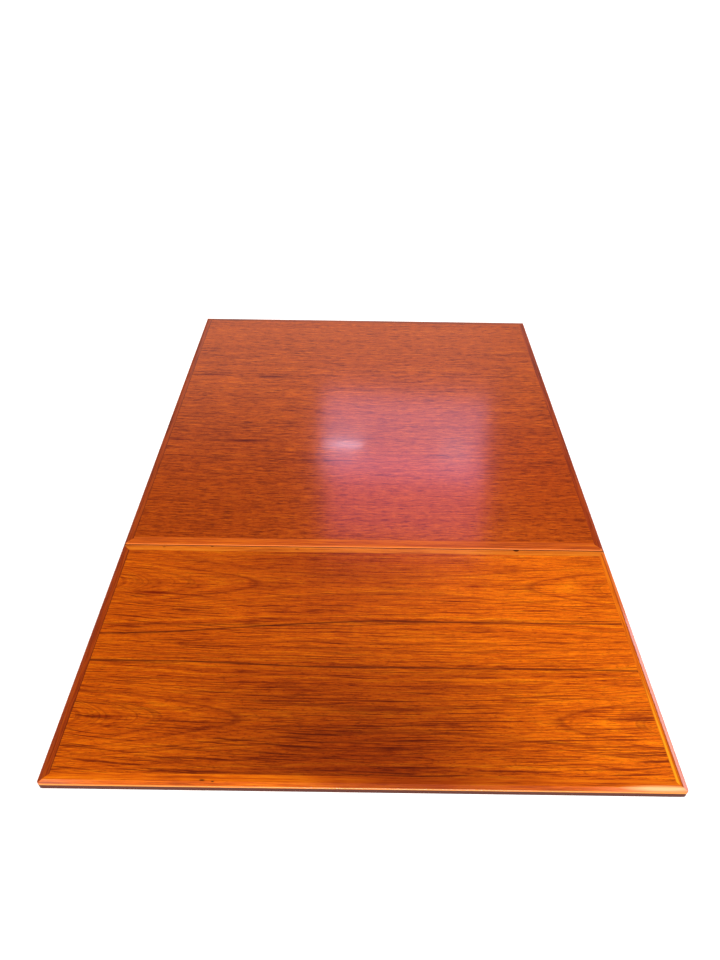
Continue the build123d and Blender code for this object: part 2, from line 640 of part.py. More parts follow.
def buttons(name):
    """Two turned-in wooden buttons on an apron, with the screws that hold them to the top."""
    x_low, x_high, y_low, y_high = apron_box(name)
    dx, dy = INWARDS[name]
    face_x = x_high if dx > 0 else x_low
    face_y = y_high if dy > 0 else y_low
    run = (y_high - y_low) if dx else (x_high - x_low)
    middle = ((x_low + x_high) / 2, (y_low + y_high) / 2)
    blocks, screws = [], []
    for offset in (-run / 4, run / 4):
        place = (face_x if dx else middle[0] + offset, face_y if dy else middle[1] + offset)
        plane = Plane(origin=(*place, UNDERSIDE), x_dir=(dx, dy, 0), z_dir=(0, 0, 1))
        body = Pos((BUTTON_REACH + BUTTON_GAP) / 2, 0, -BUTTON_HEIGHT / 2) * Box(
            BUTTON_REACH - BUTTON_GAP, BUTTON_LENGTH, BUTTON_HEIGHT)
        body = chamfer(body.edges().filter_by(Axis.Y).sort_by(Axis.Z)[:1], BUTTON_CHAMFER)
        tongue_middle = -GROOVE_DROP - GROOVE_HEIGHT / 2
        body += Pos((BUTTON_GAP - TONGUE_DEPTH) / 2, 0, tongue_middle) * Box(
            BUTTON_GAP + TONGUE_DEPTH, TONGUE_LENGTH, TONGUE_HEIGHT)
        screw = countersunk_screw((BUTTON_REACH / 2 + BUTTON_GAP, 0, -BUTTON_HEIGHT), (0, 0, 1),
                                  BUTTON_SCREW_LENGTH)
        blocks.append(plane * (body - screw))
        screws.append(plane * screw)
    return blocks, screws


def foot_glide(side, end):
    """A domed plastic glide and the nail that holds it in the foot."""
    x, y, _, _ = corner(side, end)
    disc = cylinder(GLIDE_RADIUS, (x, y, 0), (0, 0, 1), GLIDE_THICKNESS)
    disc = fillet(disc.edges().group_by(Axis.Z)[0], GLIDE_EDGE_RADIUS)
    nail = cylinder(GLIDE_NAIL_RADIUS, (x, y, GLIDE_NAIL_SUNK), (0, 0, 1), GLIDE_NAIL_LENGTH)
    return disc - nail, nail


def build_underframe(apron_cutters):
    """Legs, aprons, corner blocks and feet. Returns the screws that enter the top."""
    bolts, washers, nuts, wood_screws, glides, nails = [], [], [], [], [], []
    cutters = {name: list(apron_cutters.get(name, [])) for name in INWARDS}
    for side, side_name in ((-1, "left"), (1, "right")):
        for end in ("near", "far"):
            corner_bolts, corner_washers, corner_nuts = leg_bolts(side, end)
            screws, sinks = block_screws(side, end)
            glide, nail = foot_glide(side, end)
            leg = build_leg(side, end)
            block = corner_block(side, end)
            for bolt in corner_bolts:
                leg -= bolt
                block -= bolt
            for cutter in screws + sinks:
                block -= cutter
            save(f"leg_{end}_{side_name}", leg - nail)
            save(f"corner_block_{end}_{side_name}", block)
            cutters[end].append(screws[0])
            cutters[side_name].append(screws[1])
            bolts += corner_bolts
            washers += corner_washers
            nuts += corner_nuts
            wood_screws += screws
            glides.append(glide)
            nails.append(nail)

    all_buttons, button_screws = [], []
    for name in INWARDS:
        box = apron_box(name)
        apron = slab(*box, UNDERSIDE - APRON_HEIGHT, UNDERSIDE) - groove_cutter(name)
        for cutter in cutters[name]:
            apron -= cutter
        save(f"apron_{name}", apron)
        blocks, screws = buttons(name)
        all_buttons += blocks
        button_screws += screws

    save("leg_bolts", group(bolts))
    save("leg_bolt_washers", group(washers))
    save("leg_bolt_nuts", group(nuts))
    save("corner_block_screws", group(wood_screws))
    save("foot_glides", group(glides))
    save("foot_glide_nails", group(nails))
    save("top_buttons", group(all_buttons))
    save("top_button_screws", group(button_screws))
    return button_screws


# ---------------------------------------------------------------- assembly

hinges = {"left": -HINGE_X, "right": HINGE_X}
sides = {"left": -1, "right": 1}

top_screws = [s for x in hinges.values() for s in hinge_screws(x, 1)]
leaf_screws = [s for x in hinges.values() for s in hinge_screws(x, -1)]
slide_screws = [s for side in sides.values() for s in slide_plate_screws(side)]
bracket_screws = [s for side in sides.values() for s in stay_bracket_screws(side)]

button_screws = build_underframe({"near": bracket_screws})

top_pockets = [hinge_pocket(x, 1) for x in hinges.values()]
leaf_pockets = [hinge_pocket(x, -1) for x in hinges.values()]
notches = [notch_cutter(name, x) for name, x in hinges.items()]
top_cutters = top_pockets + top_screws
leaf_cutters = leaf_pockets + leaf_screws
build_panel("main", SEAM_Y + SEAM_GAP / 2, MAIN_FAR_Y, True, top_cutters + button_screws, top_cutters)
build_panel("leaf", LEAF_OUTER_Y, SEAM_Y - SEAM_GAP / 2, False, leaf_cutters + slide_screws,
            leaf_cutters + notches)

for name, x in hinges.items():
    frame_flap = hinge_plate(x, 1, 0)
    leaf_flap = hinge_plate(x, -1, 1)
    for screw in top_screws:
        frame_flap -= screw
    for screw in leaf_screws:
        leaf_flap -= screw
    save(f"hinge_{name}_top_flap", frame_flap)
    save(f"hinge_{name}_leaf_flap", leaf_flap)
    save(f"hinge_{name}_pin", hinge_pin(x))
save("hinge_top_screws", group(top_screws))
save("hinge_leaf_screws", group(leaf_screws))

for name, side in sides.items():
    pivot_pin = stay_pivot_pin(side)
    bracket = stay_bracket(side) - pivot_pin
    for screw in stay_bracket_screws(side):
        bracket -= screw
    plate = slide_plate(side)
    for screw in slide_plate_screws(side):
        plate -= screw
    save(f"stay_{name}_bracket", bracket)
    save(f"stay_{name}_pivot_pin", pivot_pin)
    save(f"stay_{name}_arm", stay_arm(side))
    save(f"stay_{name}_stud", stay_stud(side))
    save(f"stay_{name}_spacer", stay_spacer(side))
    save(f"stay_{name}_slide_plate", plate)
    save(f"stay_{name}_clamp_knob", clamp_knob(side))
save("stay_bracket_screws", group(bracket_screws))
save("slide_plate_screws", group(slide_screws))
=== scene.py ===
"""A teak drop leaf table with its leaf up: the looks of each piece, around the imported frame."""

import math

import bmesh
import bpy
from mathutils import Matrix, Vector


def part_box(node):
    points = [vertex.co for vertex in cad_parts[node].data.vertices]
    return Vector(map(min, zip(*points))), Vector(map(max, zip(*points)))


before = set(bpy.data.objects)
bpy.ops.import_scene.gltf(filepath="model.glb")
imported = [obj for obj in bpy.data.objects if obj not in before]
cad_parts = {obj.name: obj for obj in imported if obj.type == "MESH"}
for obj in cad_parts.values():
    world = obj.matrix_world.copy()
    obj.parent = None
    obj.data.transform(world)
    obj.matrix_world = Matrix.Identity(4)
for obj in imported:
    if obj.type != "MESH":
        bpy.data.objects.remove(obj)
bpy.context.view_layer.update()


# --- Viewpoint ---------------------------------------------------------------------------------
# A phone held upright at head height, a step in front of the leaf's outer edge, and tilted down
# until the whole table is in view. Its lens is a wide one, so the far edge looks much shorter.

VIEW_FROM = (-0.0106, -1.0734, 1.6211)
VIEW_TILT, VIEW_TURN, VIEW_ROLL = 49.642, -0.093, 0.879  # degrees, the tilt up from straight down
LENS_MM, SENSOR_MM = 26.23, 36.0

camera = bpy.data.objects.new("viewpoint", bpy.data.cameras.new("viewpoint"))
camera.data.sensor_fit = "VERTICAL"
camera.data.sensor_height = SENSOR_MM
camera.data.lens = LENS_MM
camera.matrix_world = (
    Matrix.Translation(VIEW_FROM)
    @ Matrix.Rotation(math.radians(VIEW_TURN), 4, "Z")
    @ Matrix.Rotation(math.radians(VIEW_TILT), 4, "X")
    @ Matrix.Rotation(math.radians(VIEW_ROLL), 4, "Z")
)
bpy.context.scene.collection.objects.link(camera)
bpy.context.scene.camera = camera
bpy.context.scene.view_settings.view_transform = "Standard"


# --- Floor -------------------------------------------------------------------------------------
# Pale seamless studio paper, matt and slightly fibrous. It spreads far past the table on every
# side, so it meets the bright room with no edge.

MM = 0.001
FLOOR_REACH = 30.0
PAPER_FIBRE = 4 * MM  # drawn coarser than the real 0.5 mm fibre, which wouldn't show
PAPER_PALE, PAPER_SHADE = "F6F6F6", "F1F1F1"
PAPER_MATT = 0.9
PAPER_SHINE = 0.1
PAPER_GLOW = 0.22  # lit from below too, which lifts the table's shadow


def linear(hex_colour):
    """An sRGB hex colour as linear red, green, blue and alpha."""
    parts = [int(hex_colour[i : i + 2], 16) / 255 for i in (0, 2, 4)]
    return (*[p / 12.92 if p <= 0.04045 else ((p + 0.055) / 1.055) ** 2.4 for p in parts], 1.0)


def add(tree, kind, inputs=None, **settings):
    """Adds one node with its settings, and puts a value or another node's output in each socket."""
    made = tree.nodes.new("ShaderNode" + kind)
    for name, value in settings.items():
        setattr(made, name, value)
    for name, value in (inputs or {}).items():
        if isinstance(value, bpy.types.NodeSocket):
            tree.links.new(value, made.inputs[name])
        else:
            made.inputs[name].default_value = value
    return made


def set_ramp(ramp, stops):
    """Gives a colour ramp its stops, as (position, hex colour) from low to high."""
    while len(ramp.elements) < len(stops):
        ramp.elements.new(1.0)
    for element, (position, colour) in zip(ramp.elements, stops):
        element.position = position
        element.color = linear(colour)


def new_material(name):
    """An empty material, with its node tree and its output node."""
    material = bpy.data.materials.new(name)
    material.use_nodes = True
    tree = material.node_tree
    tree.nodes.clear()
    return material, tree, add(tree, "OutputMaterial")


def finish_with(material, *nodes):
    """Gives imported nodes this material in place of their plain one."""
    for name in nodes:
        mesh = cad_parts[name].data
        mesh.materials.clear()
        mesh.materials.append(material)


floor_mesh = bpy.data.meshes.new("studio_paper")
floor_shape = bmesh.new()
corners = [
    floor_shape.verts.new((x * FLOOR_REACH, y * FLOOR_REACH, 0.0))
    for x, y in ((-1, -1), (1, -1), (1, 1), (-1, 1))
]
floor_shape.faces.new(corners)
floor_shape.to_mesh(floor_mesh)
floor_shape.free()
floor = bpy.data.objects.new("studio_paper", floor_mesh)
bpy.context.scene.collection.objects.link(floor)

paper, tree, out = new_material("matt_studio_paper")
place = add(tree, "TexCoord")
fibre = add(tree, "TexNoise", {"Vector": place.outputs["Object"], "Scale": 1 / PAPER_FIBRE})
tone = add(tree, "ValToRGB", {"Fac": fibre.outputs["Fac"]})
set_ramp(tone.color_ramp, [(0.3, PAPER_SHADE), (0.7, PAPER_PALE)])
shader = add(tree, "BsdfPrincipled", {
    "Base Color": tone.outputs["Color"], "Roughness": PAPER_MATT,
    "Specular IOR Level": PAPER_SHINE, "Emission Strength": PAPER_GLOW,
    "Emission Color": linear(PAPER_PALE)})
tree.links.new(shader.outputs[0], out.inputs["Surface"])
floor_mesh.materials.append(paper)


# --- Studio light ------------------------------------------------------------------------------
# Broad soft light comes from behind the viewer and from both sides. A tall pinkish window beyond
# the far edge shows in the lacquer, with one brighter pane, and the window on the right has a
# bluish sky. The ceiling is dark, so the teak stays deep.

SOFT_SUNS = (  # name, where it comes from, strength, width in degrees
    ("behind_camera", (0.05, -0.70, 0.72), 3.1, 26),
    ("from_right", (0.75, -0.35, 0.80), 1.4, 46),
    ("from_left", (-0.80, -0.35, 0.80), 1.15, 46),
)
SUN_TINT = "FFFBF6"
for name, source, strength, width in SOFT_SUNS:
    sun = bpy.data.objects.new(name, bpy.data.lights.new(name, "SUN"))
    sun.data.energy = strength
    sun.data.angle = math.radians(width)
    sun.data.color = linear(SUN_TINT)[:3]
    sun.rotation_euler = Vector(source).to_track_quat("Z", "Y").to_euler()
    bpy.context.scene.collection.objects.link(sun)

WINDOWS = (  # name, middle, the point it faces, width, height, red, green and blue radiance
    ("far_window_lower", (0.29, 2.80, 2.74), (0.10, 0.10, 0.73), 1.13, 0.56, (2.1, 1.12, 2.2)),
    ("far_window_upper", (0.33, 2.80, 3.33), (0.10, 0.00, 0.73), 1.17, 0.62, (2.4, 0.50, 1.25)),
    ("far_window_pane", (-0.125, 2.79, 2.81), (0.0, 0.10, 0.73), 0.26, 0.03, (9.5, 10.0, 13.5)),
    ("far_window_sky", (0.66, 2.79, 2.86), (0.20, 0.10, 0.73), 0.22, 0.12, (1.3, 1.5, 1.9)),
    ("right_window", (2.50, 0.60, 1.58), (0.40, -0.45, 0.73), 1.1, 0.9, (2.7, 3.3, 4.6)),
)
for name, middle, faces, width, height, radiance in WINDOWS:
    window = bpy.data.objects.new(name, bpy.data.lights.new(name, "AREA"))
    window.data.shape = "RECTANGLE"
    window.data.size, window.data.size_y = width, height
    window.data.energy = max(radiance) * math.pi * width * height
    window.data.color = [part / max(radiance) for part in radiance]
    window.location = middle
    away = Vector(middle) - Vector(faces)
    window.rotation_euler = away.to_track_quat("Z", "Y").to_euler()
    bpy.context.scene.collection.objects.link(window)

ROOM_BY_HEIGHT = [  # sine of the angle above the horizon, and the tone there
    (0.00, "C8BAB4"), (0.47, "D0BCB8"), (0.515, "C6B0AC"), (0.56, "A69490"),
    (0.595, "807272"), (0.63, "4A4040"), (0.68, "201C1C"),
]
ROOM_BY_SIDE = [  # from the left wall, 0, to the right wall, 1
    (0.0, "3A3A3A"), (0.28, "6E6E6E"), (0.38, "FFFFFF"), (0.57, "FFFFFF"), (0.64, "C0C0C0"),
    (0.80, "585858"),
]
PALE_BACKDROP = "FFFFFF"

room = bpy.data.worlds.new("studio")
room.use_nodes = True
tree = room.node_tree
tree.nodes.clear()
direction = add(tree, "TexCoord")
parts = add(tree, "SeparateXYZ", {"Vector": direction.outputs["Generated"]})
by_height = add(tree, "ValToRGB", {"Fac": parts.outputs["Z"]})
set_ramp(by_height.color_ramp, ROOM_BY_HEIGHT)
across = add(tree, "MapRange", {"Value": parts.outputs["X"], "From Min": -1.0, "From Max": 1.0})
by_side = add(tree, "ValToRGB", {"Fac": across.outputs["Result"]})
set_ramp(by_side.color_ramp, ROOM_BY_SIDE)
seen = add(tree, "Mix", {"Factor": 1.0, 6: by_height.outputs["Color"], 7: by_side.outputs["Color"]},
           data_type="RGBA", blend_type="MULTIPLY")
rays = add(tree, "LightPath")
room_light = add(tree, "Background", {"Color": seen.outputs[2], "Strength": 1.0})
backdrop = add(tree, "Background", {"Color": linear(PALE_BACKDROP), "Strength": 1.0})
either = add(tree, "MixShader", {0: rays.outputs["Is Camera Ray"], 1: room_light.outputs[0],
                                 2: backdrop.outputs[0]})
out = add(tree, "OutputWorld", {"Surface": either.outputs[0]})
bpy.context.scene.world = room


# --- Face veneers ------------------------------------------------------------------------------
# Sliced teak, 0.8 mm thick, laid with its grain across the table in sheets taken one after the
# other from the same log, so the same figure comes again every sheet's width. Sprayed and rubbed
# with a clear lacquer: the eye gets a deep orange wood under a thin, nearly smooth, shiny film.

SEAM = (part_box("leaf_veneer_top")[1].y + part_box("main_veneer_top")[0].y) / 2
SHEET_WIDTH = 248 * MM
LACQUER_ROUGHNESS, RUBBED_ROUGHNESS = 0.13, 0.065
LACQUER_IOR = 1.5
LACQUER_RIPPLE = 12 * MM
WOOD_ROUGHNESS, ROUGHNESS_SPREAD = 0.48, 0.08
WOOD_SHINE = 0.1  # under the lacquer, which does the shining
FIBRE_ACROSS, FIBRE_ALONG = 0.9 * MM, 24 * MM  # real fibres are 0.2 mm, too fine to show
PORE_ACROSS, PORE_ALONG = 0.8 * MM, 8 * MM  # real pores are 0.3 mm wide, too fine to show
PORE_DARK = 0.7
BAND_LENGTH, BANDS_PER_METRE = 200 * MM, 38.0
RING_SPACING = 6.5 * MM
SHALLOWEST_RING = 6 * MM
WANDER = 4.5 * MM  # how far a growth ring strays from its smooth curve
WANDER_LENGTH, WANDERS_PER_METRE = 300 * MM, 9.0  # along the grain and across it
GRAIN_BEND = 0.45  # how closely the fine lines follow the rings
RING_SHARE, BAND_SHARE = 0.36, 0.30  # of the tone, beside the fibres
GUM_LINE = "4A1605"
GUM_WANDER = 0.25  # of a ring's stray
PORE_DEPTH, RIPPLE_HEIGHT, GRAIN_PRINT = 0.10 * MM, 0.10 * MM, 0.06 * MM
FULLY_RUBBED = 0.8  # how deep inside a rubbed spot its polish is complete
THROUGH = 1000.0  # a reach in height that takes in the whole thickness


def soft_patch(tree, place, middle_x, from_seam, reach_x, reach_y):
    """How deep inside a soft oval on the tops a place is: 1 in its middle and 0 from its rim."""
    oval = add(tree, "Mapping", {"Vector": place, "Location": (middle_x, SEAM + from_seam, 0),
                                 "Scale": (reach_x, reach_y, THROUGH)}, vector_type="TEXTURE")
    deep = add(tree, "TexGradient", {"Vector": oval.outputs[0]}, gradient_type="SPHERICAL")
    return deep.outputs["Fac"]


def shaded(tree, place, colour, shades):
    """Soft tinted patches, each a middle, a reach and a tint: painted shade, tints and lens marks.
    """
    for *oval, tint, amount in shades:
        patch = add(tree, "MapRange", {"Value": soft_patch(tree, place, *oval),
                                       "To Max": amount}, interpolation_type="SMOOTHSTEP")
        colour = add(tree, "Mix", {"Factor": patch.outputs[0], 6: colour, 7: linear(tint)},
                     data_type="RGBA", blend_type="MULTIPLY").outputs[2]
    return colour


def sliced_teak(name, middles, aside, straight_at, heart, taper, tones, line_depth, mottle, grain,
                coarse, rubbed, lines=(), shades=()):
    """Flat-cut teak veneer under lacquer. The growth rings are cut as long arches about each
    sheet's middle line, and middles is how far from the seam one of those lines lies. aside is
    how far to one side the log's centre lay, and heart how deep under the sheet it lay at
    straight_at. It came up towards both ends at taper, which opens the arches.
    tones run from the darkest wood to the lightest. line_depth is the darkness of single ring
    lines, and mottle the share of the fibres in the tone. grain is the length, width and darkness
    of the fine lines between the rings, and coarse how much coarser the fibres and pores are
    drawn, to show from further off. rubbed is one spot, its middle and reach, where use has
    polished the lacquer brighter. lines are streaks of gum, and shades are soft tinted patches:
    painted shade where the top is meant to look less lit, and thin lens marks of the figure."""
    material, tree, out = new_material(name)
    place = add(tree, "TexCoord").outputs["Object"]

    # Each sheet is measured from its own middle line and numbered, and the number, times a small
    # step, moves the patterns a little from sheet to sheet. The grain wanders nearly alike in all.
    at = add(tree, "SeparateXYZ", {"Vector": place})
    offset = add(tree, "Math", {0: at.outputs["Y"], 1: SEAM + middles}, operation="SUBTRACT")
    within = add(tree, "Math", {0: offset.outputs[0], 1: SHEET_WIDTH / 2, 2: -SHEET_WIDTH / 2},
                 operation="WRAP")
    sheet = add(tree, "Math", {0: offset.outputs[0], 1: SHEET_WIDTH}, operation="DIVIDE")
    sheet = add(tree, "Math", {0: sheet.outputs[0]}, operation="ROUND")
    leafed = add(tree, "CombineXYZ", {"X": at.outputs["X"], "Y": within.outputs[0],
                                      "Z": sheet.outputs[0]})
    slow = add(tree, "VectorMath", {0: leafed.outputs[0],
                                    1: (1 / WANDER_LENGTH, WANDERS_PER_METRE, 0.12)},
               operation="MULTIPLY")
    wander = add(tree, "TexNoise", {"Vector": slow.outputs[0], "Scale": 1.0, "Detail": 3.0,
                                    "Roughness": 0.45})
    stray = add(tree, "MapRange", {"Value": wander.outputs["Fac"], "To Min": -2 * WANDER,
                                   "To Max": 2 * WANDER})
    across = add(tree, "Math", {0: within.outputs[0], 1: stray.outputs[0]}, operation="ADD")
    across = add(tree, "Math", {0: across.outputs[0], 1: aside}, operation="ADD")

    # Distance from the log's centre, which is what a growth ring keeps.
    squared = add(tree, "Math", {0: across.outputs[0], 1: across.outputs[0]}, operation="MULTIPLY")
    along = add(tree, "Math", {0: at.outputs["X"], 1: straight_at}, operation="SUBTRACT")
    along = add(tree, "Math", {0: along.outputs[0], 1: taper}, operation="MULTIPLY")
    rise = add(tree, "Math", {0: along.outputs[0], 1: along.outputs[0]}, operation="MULTIPLY")
    deep = add(tree, "Math", {0: heart * heart, 1: rise.outputs[0]}, operation="SUBTRACT")
    deep = add(tree, "Math", {0: deep.outputs[0], 1: SHALLOWEST_RING**2}, operation="MAXIMUM")
    total = add(tree, "Math", {0: squared.outputs[0], 1: deep.outputs[0]}, operation="ADD")
    radius = add(tree, "Math", {0: total.outputs[0], 1: 0.5}, operation="POWER")
    rings = add(tree, "TexNoise", {"W": radius.outputs[0], "Scale": 1 / RING_SPACING,
                                   "Detail": 5.0, "Roughness": 0.62}, noise_dimensions="1D")
    ring_lines = add(tree, "TexNoise", {"W": radius.outputs[0], "Scale": 0.6 / RING_SPACING,
                                        "Detail": 2.0}, noise_dimensions="1D")
    ring_line = add(tree, "ValToRGB", {"Fac": ring_lines.outputs["Fac"]})
    set_ramp(ring_line.color_ramp, [(0.44, "000000"), (0.485, "FFFFFF"), (0.50, "000000")])

    # Fine dark grain lines bend a little with the rings.
    grain_length, grain_width, grain_depth = grain
    bent = add(tree, "Math", {0: radius.outputs[0], 1: GRAIN_BEND, 2: across.outputs[0]},
               operation="MULTIPLY_ADD")
    follow = add(tree, "CombineXYZ", {"X": at.outputs["X"], "Y": bent.outputs[0],
                                      "Z": sheet.outputs[0]})
    follow = add(tree, "VectorMath", {0: follow.outputs[0],
                                      1: (1 / grain_length, 1 / grain_width, 7.3)},
                 operation="MULTIPLY")
    fine = add(tree, "TexNoise", {"Vector": follow.outputs[0], "Scale": 1.0, "Detail": 3.0,
                                  "Roughness": 0.65})
    fine_line = add(tree, "MapRange", {"Value": fine.outputs["Fac"], "From Min": 0.52,
                                       "From Max": 0.62, "To Max": grain_depth})

    # Fibres and pores run with the grain, in each sheet's own place.
    stretch = add(tree, "VectorMath", {0: leafed.outputs[0],
                                       1: (1 / FIBRE_ALONG, 1 / FIBRE_ACROSS / coarse, 3.7)},
                  operation="MULTIPLY")
    fibres = add(tree, "TexNoise", {"Vector": stretch.outputs[0], "Scale": 1.0, "Detail": 4.0,
                                    "Roughness": 0.6, "Distortion": 0.25})
    stretch = add(tree, "VectorMath", {0: leafed.outputs[0],
                                       1: (1 / PORE_ALONG, 1 / PORE_ACROSS / coarse, 5.3)},
                  operation="MULTIPLY")
    pores = add(tree, "TexNoise", {"Vector": stretch.outputs[0], "Scale": 1.0, "Detail": 2.0,
                                   "Roughness": 0.7})
    stretch = add(tree, "VectorMath", {0: leafed.outputs[0],
                                       1: (1 / BAND_LENGTH, BANDS_PER_METRE, 1.9)},
                  operation="MULTIPLY")
    bands = add(tree, "TexNoise", {"Vector": stretch.outputs[0], "Scale": 1.0, "Detail": 3.0})

    # The tone is the rings, the broad bands and the fibres together.
    tone = add(tree, "Math", {0: rings.outputs["Fac"], 1: RING_SHARE}, operation="MULTIPLY")
    tone = add(tree, "Math", {0: bands.outputs["Fac"], 1: BAND_SHARE, 2: tone.outputs[0]},
               operation="MULTIPLY_ADD")
    tone = add(tree, "Math", {0: fibres.outputs["Fac"], 1: mottle, 2: tone.outputs[0]},
               operation="MULTIPLY_ADD")
    tone = add(tree, "Math", {0: tone.outputs[0], 1: RING_SHARE + BAND_SHARE + mottle},
               operation="DIVIDE")
    colour = add(tree, "ValToRGB", {"Fac": tone.outputs[0]})
    set_ramp(colour.color_ramp, tones)
    colour = colour.outputs["Color"]

    dark = add(tree, "MapRange", {"Value": pores.outputs["Fac"], "From Min": 0.54,
                                  "From Max": 0.68, "To Max": PORE_DARK})
    ring_dark = add(tree, "Math", {0: ring_line.outputs["Color"], 1: bands.outputs["Fac"]},
                    operation="MULTIPLY")
    ring_dark = add(tree, "Math", {0: ring_dark.outputs[0], 1: line_depth}, operation="MULTIPLY")
    darkest = linear(tones[0][1])
    for darkness in (fine_line, dark, ring_dark):
        colour = add(tree, "Mix", {"Factor": darkness.outputs[0], 6: colour, 7: darkest},
                     data_type="RGBA").outputs[2]

    # A few single dark lines of gum run the whole length, each climbing between two places.
    for start_x, end_x, start_y, climb, gum_width, depth in lines:
        span = add(tree, "MapRange", {"Value": at.outputs["X"], "From Min": start_x,
                                      "From Max": end_x}, interpolation_type="SMOOTHSTEP")
        path = add(tree, "Math", {0: span.outputs[0], 1: climb, 2: SEAM + start_y},
                   operation="MULTIPLY_ADD")
        path = add(tree, "Math", {0: path.outputs[0], 1: at.outputs["Y"]}, operation="SUBTRACT")
        path = add(tree, "Math", {0: stray.outputs[0], 1: GUM_WANDER, 2: path.outputs[0]},
                   operation="MULTIPLY_ADD")
        path = add(tree, "Math", {0: path.outputs[0]}, operation="ABSOLUTE")
        near = add(tree, "MapRange", {"Value": path.outputs[0], "From Min": gum_width,
                                      "From Max": 0.0, "To Min": 0.0, "To Max": depth})
        colour = add(tree, "Mix", {"Factor": near.outputs[0], 6: colour, 7: linear(GUM_LINE)},
                     data_type="RGBA").outputs[2]

    colour = shaded(tree, place, colour, shades)
    rough = add(tree, "MapRange", {"Value": fibres.outputs["Fac"],
                                   "To Min": WOOD_ROUGHNESS - ROUGHNESS_SPREAD,
                                   "To Max": WOOD_ROUGHNESS + ROUGHNESS_SPREAD})
    relief = add(tree, "Bump", {"Height": pores.outputs["Fac"], "Strength": 0.25,
                                "Distance": PORE_DEPTH})
    ripple = add(tree, "TexNoise", {"Vector": place, "Scale": 1 / LACQUER_RIPPLE, "Detail": 1.0})
    film = add(tree, "Bump", {"Height": ripple.outputs["Fac"], "Strength": 0.3,
                              "Distance": RIPPLE_HEIGHT})
    film = add(tree, "Bump", {"Height": fine.outputs["Fac"], "Strength": 0.22,
                              "Distance": GRAIN_PRINT, "Normal": film.outputs[0]})
    haze = add(tree, "MapRange", {"Value": soft_patch(tree, place, *rubbed),
                                  "From Max": FULLY_RUBBED, "To Min": LACQUER_ROUGHNESS,
                                  "To Max": RUBBED_ROUGHNESS})
    shader = add(tree, "BsdfPrincipled", {
        "Base Color": colour, "Roughness": rough.outputs[0], "Normal": relief.outputs[0],
        "Specular IOR Level": WOOD_SHINE, "Coat Weight": 1.0, "Coat Roughness": haze.outputs[0],
        "Coat IOR": LACQUER_IOR, "Coat Normal": film.outputs[0]})
    tree.links.new(shader.outputs[0], out.inputs["Surface"])
    return material


MAIN_TONES = [(0.36, "5E1A02"), (0.46, "A64404"), (0.55, "BE5406"), (0.65, "D26A0E")]
MAIN_SHADE_AND_LENS_MARKS = (  # middle x, distance from the seam, reach x, reach y, tint, amount
    # The first patch is painted shade, darkening the left half as if lit from the right. The second
    # tints the right part, and the thin ones after it are lens marks of the figure.
    (-0.30, 0.10, 0.60, 0.55, "E8DCD0", 1.0),
    (0.36, 0.22, 0.24, 0.36, "F2DED4", 1.0),
    (-0.362, 0.562, 0.070, 0.007, "BC9480", 1.0),
    (-0.226, 0.556, 0.070, 0.009, "9C6450", 1.0),
    (-0.254, 0.304, 0.090, 0.008, "9C6450", 1.0),
    (-0.390, 0.306, 0.040, 0.005, "BC9480", 1.0),
    (-0.060, 0.242, 0.090, 0.004, "B07C64", 1.0),
    (0.080, 0.540, 0.080, 0.005, "B08068", 0.8),
)
MAIN_LINES = (  # from x, to x, distance from the seam, climb, half width, darkness
    (-0.42, 0.10, 497 * MM, 4 * MM, 2.6 * MM, 0.40),
    (-0.20, 0.42, 366 * MM, -6 * MM, 2.2 * MM, 0.35),
    (-0.42, 0.00, 252 * MM, -12 * MM, 2.2 * MM, 0.35),
)
MAIN_GRAIN = (30 * MM, 2.0 * MM, 0.90)
finish_with(
    sliced_teak("sliced_teak_main_top", middles=58 * MM, aside=190 * MM, straight_at=0.0,
                heart=90 * MM, taper=0.17, tones=MAIN_TONES, line_depth=0.35, mottle=1.2,
                grain=MAIN_GRAIN, coarse=1.6, rubbed=(-0.035, 0.300, 0.075, 0.035),
                lines=MAIN_LINES, shades=MAIN_SHADE_AND_LENS_MARKS),
    "main_veneer_top")

LEAF_TONES = [(0.37, "742202"), (0.45, "CC5802"), (0.54, "E87002"), (0.65, "F88E06")]
LEAF_LINES = (  # from x, to x, distance from the seam, climb, half width, darkness
    (-0.42, 0.05, -195 * MM, 30 * MM, 2.4 * MM, 0.85),
    (-0.10, 0.30, -176 * MM, 16 * MM, 2.0 * MM, 0.50),
    (-0.30, -0.05, -245 * MM, -6 * MM, 2.4 * MM, 0.85),
    (-0.42, 0.42, -93 * MM, 12 * MM, 1.6 * MM, 0.30),
)
LEAF_SHADE_AND_LENS_MARKS = (  # middle x, distance from the seam, reach x, reach y, tint, amount
    # The first three patches are painted shade: the first darkens the left half as if lit from the
    # right, the second paints a shadow across the middle near the outer edge, and the third a shade
    # in the middle by the seam. The thin patches after them are lens marks of the figure.
    (-0.34, -0.22, 0.72, 0.70, "D8CCC8", 1.0),
    (0.00, -0.43, 0.40, 0.34, "A88C84", 1.0),
    (-0.03, 0.00, 0.34, 0.24, "D0BCB4", 1.0),
    (-0.345, -0.112, 0.060, 0.006, "A06040", 1.0),
    (-0.365, -0.338, 0.055, 0.005, "A06040", 0.9),
    (0.190, -0.090, 0.050, 0.004, "A06040", 0.8),
    (-0.090, -0.292, 0.070, 0.004, "A06040", 0.8),
    (0.050, -0.322, 0.110, 0.004, "A06040", 0.7),
)
LEAF_GRAIN = (110 * MM, 1.5 * MM, 0.90)
finish_with(
    sliced_teak("sliced_teak_leaf_top", middles=-90 * MM, aside=0.0, straight_at=0.05,
                heart=62 * MM, taper=0.128, tones=LEAF_TONES, line_depth=0.8, mottle=0.8,
                grain=LEAF_GRAIN, coarse=1.1, rubbed=(0.10, -0.20, 0.12, 0.08),
                lines=LEAF_LINES, shades=LEAF_SHADE_AND_LENS_MARKS),
    "leaf_veneer_top")
